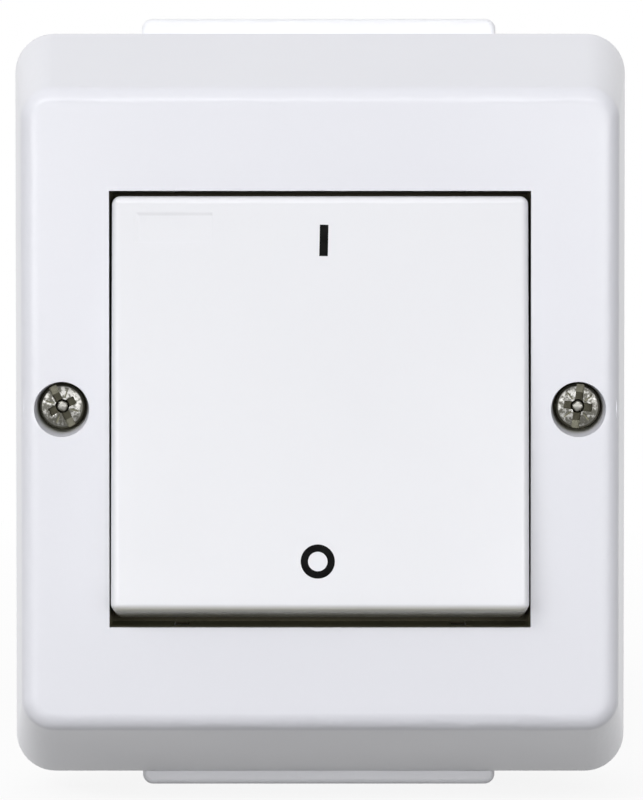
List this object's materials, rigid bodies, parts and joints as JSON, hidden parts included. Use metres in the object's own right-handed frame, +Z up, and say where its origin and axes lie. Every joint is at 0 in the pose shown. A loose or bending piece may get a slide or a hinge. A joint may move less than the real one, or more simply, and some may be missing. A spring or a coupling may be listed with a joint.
{
  "type": "outdoor weatherproof switch",
  "caption": "White surface-mounted weatherproof rocker switch in a tapered box, with a tilting rocker plate, screwed front cover, sealed contact mechanism and rubber cable entries.",
  "frame": {"origin": "centre of the box's back face, on the wall", "axes": "+X to the right seen from the front, +Z up, front faces -Y"},
  "size_m": [0.0842, 0.0541, 0.1066],
  "materials": {
    "cover_plastic": "satin",
    "box_plastic": "satin",
    "rocker_plastic": "satin",
    "mechanism_plastic": "matte",
    "base_plastic": "matte",
    "plunger_plastic": "matte",
    "zinc": "zinc plated",
    "spring_steel": "bright",
    "cage_steel": "zinc plated",
    "brass": "satin",
    "contact_silver": "satin",
    "seal_rubber": "matte",
    "mark_ink": "printed",
    "grommet_rubber": "matte"
  },
  "bodies": {
    "housing": {"back_box": "box_plastic", "box_gasket": "seal_rubber", "cable_grommet_bottom_left": "grommet_rubber", "cable_grommet_bottom_right": "grommet_rubber", "cable_grommet_top_left": "grommet_rubber", "cable_grommet_top_right": "grommet_rubber", "cover_screw_seals": "seal_rubber", "cover_screws": "zinc", "feed_contact_left": "brass", "feed_contact_right": "brass", "fixed_tip_left": "contact_silver", "fixed_tip_right": "contact_silver", "front_cover": "cover_plastic", "insert_screws": "zinc", "load_contact_left": "brass", "load_contact_right": "brass", "mechanism_base": "base_plastic", "mechanism_frame": "mechanism_plastic", "rocker_membrane": "seal_rubber", "terminal_cage_bottom_left": "cage_steel", "terminal_cage_bottom_right": "cage_steel", "terminal_cage_top_left": "cage_steel", "terminal_cage_top_right": "cage_steel", "terminal_screws": "zinc"},
    "rocker_body": {"rocker": "rocker_plastic", "rocker_cradle": "mechanism_plastic", "plunger_spring_left": "spring_steel", "plunger_spring_right": "spring_steel"},
    "left_plunger_body": {"plunger_left": "plunger_plastic"},
    "right_plunger_body": {"plunger_right": "plunger_plastic"},
    "left_lever_body": {"contact_lever_left": "brass", "moving_tip_left": "contact_silver"},
    "right_lever_body": {"contact_lever_right": "brass", "moving_tip_right": "contact_silver"}
  },
  "joints": [
    {"name": "rocker_tilt", "type": "hinge", "parent": "housing", "child": "rocker_body", "pos_m": [0, -0.0404, 0], "axis": [1, 0, 0], "range_deg": [0, 8.6]},
    {"name": "left_plunger_slide", "type": "slide", "parent": "rocker_body", "child": "left_plunger_body", "axis": [0, 0.9972, -0.075], "range_m": [-0.0006, 0], "stiffness_N_per_m": 400, "springref_m": 0.003, "deforming": ["plunger_spring_left"]},
    {"name": "left_lever_rock", "type": "hinge", "parent": "housing", "child": "left_lever_body", "pos_m": [-0.008, -0.0265, 0], "axis": [1, 0, 0], "range_deg": [-13.76, 0]},
    {"name": "right_plunger_slide", "type": "slide", "parent": "rocker_body", "child": "right_plunger_body", "axis": [0, 0.9972, -0.075], "range_m": [-0.0006, 0], "stiffness_N_per_m": 400, "springref_m": 0.003, "deforming": ["plunger_spring_right"]},
    {"name": "right_lever_rock", "type": "hinge", "parent": "housing", "child": "right_lever_body", "pos_m": [0.008, -0.0265, 0], "axis": [1, 0, 0], "range_deg": [-13.76, 0]}
  ],
  "couplings": [
    {"joint": "left_lever_rock", "follows": "rocker_tilt", "ratio": -1.6},
    {"joint": "right_lever_rock", "follows": "rocker_tilt", "ratio": -1.6}
  ]
}
